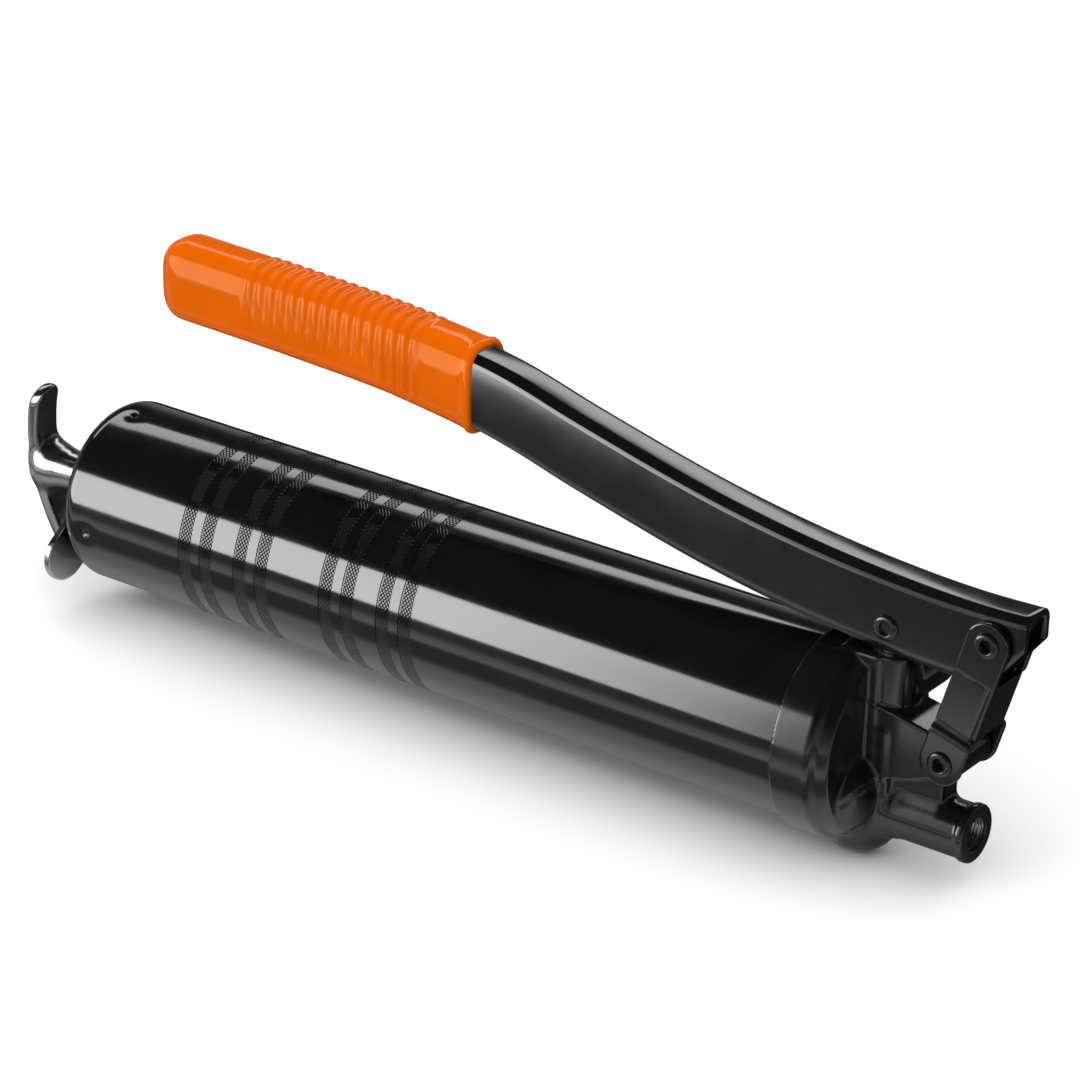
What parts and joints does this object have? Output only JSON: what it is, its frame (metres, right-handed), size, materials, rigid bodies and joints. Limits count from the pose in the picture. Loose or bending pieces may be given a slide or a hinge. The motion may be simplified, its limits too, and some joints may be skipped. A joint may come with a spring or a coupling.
{
  "type": "grease gun",
  "caption": "Lever-operated grease gun: knurled tube with a sprung piston and pull rod, cast pump head with a check valve and a threaded outlet, and a hand lever on a rocking link.",
  "frame": {"origin": "lengthwise and crosswise centre of the gun's box, at the height of the foot of the pump head, which is its lowest point", "axes": "+X along the barrel towards the outlet, +Z from the barrel towards the lever, +Y across; the barrel's axis is 35 mm above the origin"},
  "size_m": [0.3608, 0.0608, 0.1259],
  "materials": {
    "barrel_paint": "gloss black powder coat",
    "head_paint": "gloss black paint over cast iron",
    "lever_paint": "satin black paint on pressed steel",
    "grip_vinyl": "glossy dipped vinyl",
    "cast_handle": "bright cast and tumbled",
    "zinc_plate": "bright zinc plated",
    "plain_steel": "plain",
    "spring_steel": "drawn wire",
    "rod_steel": "ground and plated",
    "ball_steel": "polished ball",
    "dark_rivet": "dark, formed ends",
    "retainer_brass": "turned",
    "seal_rubber": "moulded"
  },
  "bodies": {
    "gun_body": {"barrel": "barrel_paint", "rear_cap": "plain_steel", "pump_head": "head_paint", "barrel_gasket": "seal_rubber", "plunger_seal": "seal_rubber", "gland_ring": "zinc_plate", "bleed_valve": "plain_steel", "check_spring": "spring_steel", "valve_retainer": "retainer_brass", "link_pin": "dark_rivet", "latch_spring": "spring_steel", "follower_spring": "spring_steel"},
    "rocking_link": {"link": "lever_paint", "lever_pin": "dark_rivet"},
    "hand_lever": {"lever": "lever_paint", "grip": "grip_vinyl", "plunger_pin": "dark_rivet", "fulcrum_bush": "plain_steel"},
    "pump_plunger": {"plunger": "rod_steel"},
    "follower": {"piston_rear_plate": "zinc_plate", "piston_cup": "seal_rubber", "piston_front_plate": "zinc_plate", "piston_nut": "zinc_plate"},
    "pull_rod": {"follower_rod": "rod_steel", "pull_handle": "cast_handle", "handle_pin": "plain_steel"},
    "latch_plate": {"rod_latch": "zinc_plate"},
    "valve_ball": {"check_ball": "ball_steel"}
  },
  "joints": [
    {"name": "link_rock", "type": "hinge", "parent": "gun_body", "child": "rocking_link", "pos_m": [0.1588, 0, 0.0403], "axis": [0, 1, 0], "range_deg": [-5, 0.5]},
    {"name": "lever_swing", "type": "hinge", "parent": "rocking_link", "child": "hand_lever", "pos_m": [0.17, 0, 0.0792], "axis": [0, 1, 0], "range_deg": [-2, 46]},
    {"name": "plunger_slide", "type": "slide", "parent": "gun_body", "child": "pump_plunger", "axis": [0, 0, 1], "range_m": [-0.0015, 0.0245]},
    {"name": "follower_slide", "type": "slide", "parent": "gun_body", "child": "follower", "axis": [-1, 0, 0], "range_m": [0, 0.19], "stiffness_N_per_m": 100, "springref_m": -0.1, "deforming": ["follower_spring"]},
    {"name": "rod_turn", "type": "hinge", "parent": "follower", "child": "pull_rod", "pos_m": [0, 0, 0.035], "axis": [1, 0, 0], "continuous": true},
    {"name": "latch_tilt", "type": "hinge", "parent": "gun_body", "child": "latch_plate", "pos_m": [-0.1486, 0.01034, 0.04368], "axis": [0, -0.6428, 0.766], "range_deg": [0, 3.5], "stiffness_Nm_per_rad": 0.8, "springref_deg": -2.86, "deforming": ["latch_spring"]},
    {"name": "check_ball_lift", "type": "slide", "parent": "gun_body", "child": "valve_ball", "axis": [1, 0, 0], "range_m": [0, 0.0015], "stiffness_N_per_m": 200, "springref_m": -0.001, "deforming": ["check_spring"]}
  ],
  "couplings": [
    {"joint": "link_rock", "follows": "lever_swing", "ratio": -0.103},
    {"joint": "plunger_slide", "follows": "lever_swing", "m_per_rad": 0.0299}
  ]
}
